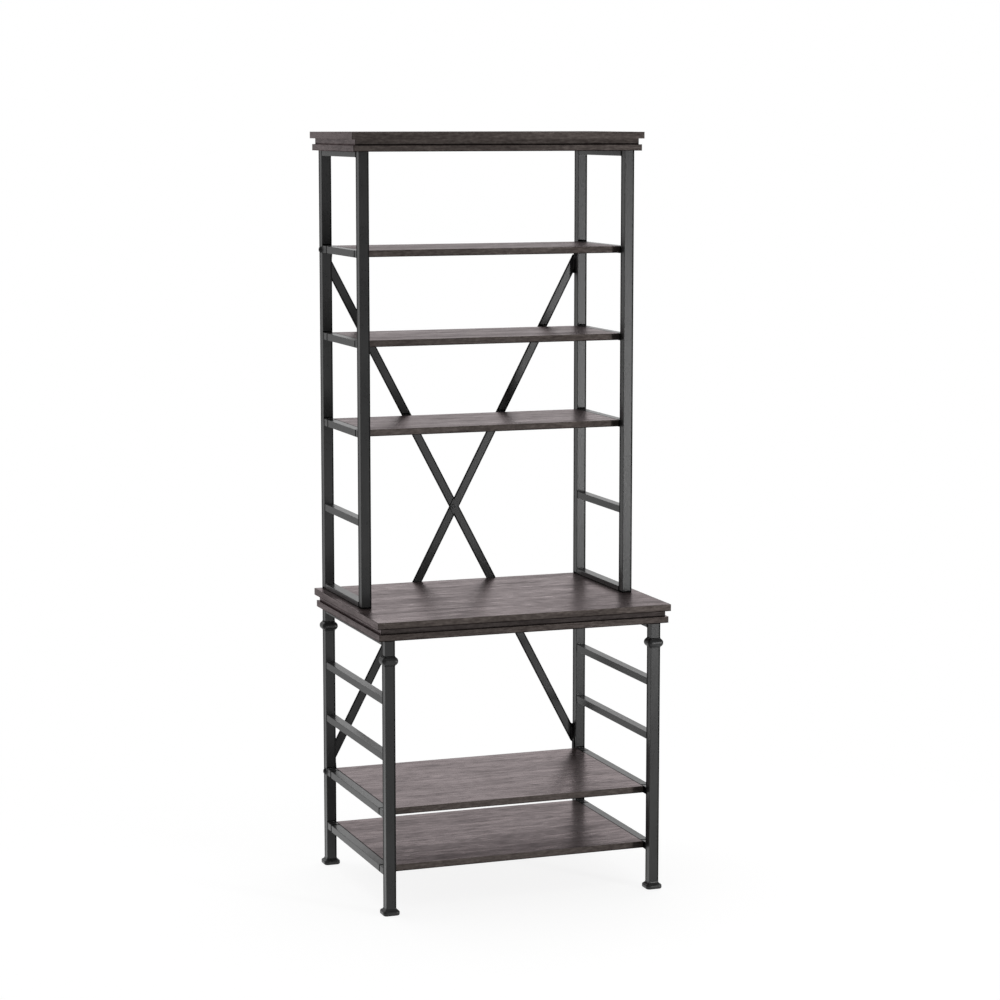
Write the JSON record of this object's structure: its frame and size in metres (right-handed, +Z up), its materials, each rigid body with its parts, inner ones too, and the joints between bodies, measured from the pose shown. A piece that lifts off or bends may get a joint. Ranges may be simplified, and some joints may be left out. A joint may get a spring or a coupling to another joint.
{
  "type": "metal bookcase",
  "caption": "Tall open bookcase with a square-tube metal frame, wood-grain boards, a deep desktop base, a narrower hutch above it and a flat-bar cross brace behind.",
  "frame": {"origin": "on the floor, under the middle of the overall width and depth", "axes": "+Z up, +X to the right seen from the front, +Y to the back, so the front faces -Y"},
  "size_m": [0.739, 0.533, 1.83],
  "materials": {
    "frame_steel": "satin charcoal powder coat",
    "cast_steel": "satin charcoal powder coat on cast pieces",
    "fastener": "satin black",
    "board": "grey-brown weathered wood-grain laminate, satin",
    "board_edge": "darker wood-grain edge, satin"
  },
  "bodies": {
    "root": {"foot_front_left": "cast_steel", "foot_front_right": "cast_steel", "foot_rear_left": "cast_steel", "foot_rear_right": "cast_steel", "leg_front_left": "frame_steel", "leg_front_right": "frame_steel", "leg_rear_left": "frame_steel", "leg_rear_right": "frame_steel", "collar_front_left": "cast_steel", "collar_front_right": "cast_steel", "collar_rear_left": "cast_steel", "collar_rear_right": "cast_steel", "base_top_rail_left": "frame_steel", "base_top_rail_right": "frame_steel", "base_upper_rung_left": "frame_steel", "base_upper_rung_right": "frame_steel", "base_lower_rung_left": "frame_steel", "base_lower_rung_right": "frame_steel", "post_front_left": "frame_steel", "post_front_right": "frame_steel", "post_rear_left": "frame_steel", "post_rear_right": "frame_steel", "hutch_top_rail_left": "frame_steel", "hutch_top_rail_right": "frame_steel", "hutch_bottom_rail_left": "frame_steel", "hutch_bottom_rail_right": "frame_steel", "hutch_rung_left": "frame_steel", "hutch_rung_right": "frame_steel", "hutch_stubs_left": "frame_steel", "hutch_stubs_right": "frame_steel", "base_stubs_left": "frame_steel", "base_stubs_right": "frame_steel", "seam_spigots": "fastener", "hutch_shelf_board_1": "board", "hutch_shelf_board_2": "board", "hutch_shelf_board_3": "board", "base_shelf_board_1": "board", "base_shelf_board_2": "board", "hutch_shelf_rail_1_left": "frame_steel", "hutch_shelf_rail_1_right": "frame_steel", "hutch_shelf_rail_2_left": "frame_steel", "hutch_shelf_rail_2_right": "frame_steel", "hutch_shelf_rail_3_left": "frame_steel", "hutch_shelf_rail_3_right": "frame_steel", "base_shelf_rail_1_left": "frame_steel", "base_shelf_rail_1_right": "frame_steel", "base_shelf_rail_2_left": "frame_steel", "base_shelf_rail_2_right": "frame_steel", "desktop_slab": "board", "desktop_neck": "board_edge", "desktop_underboard": "board", "top_slab": "board", "top_neck": "board_edge", "top_underboard": "board", "brace_left": "frame_steel", "brace_right": "frame_steel", "brace_centre_screw": "fastener", "brace_end_bolts": "fastener", "brace_end_nuts": "fastener"}
  },
  "joints": []
}
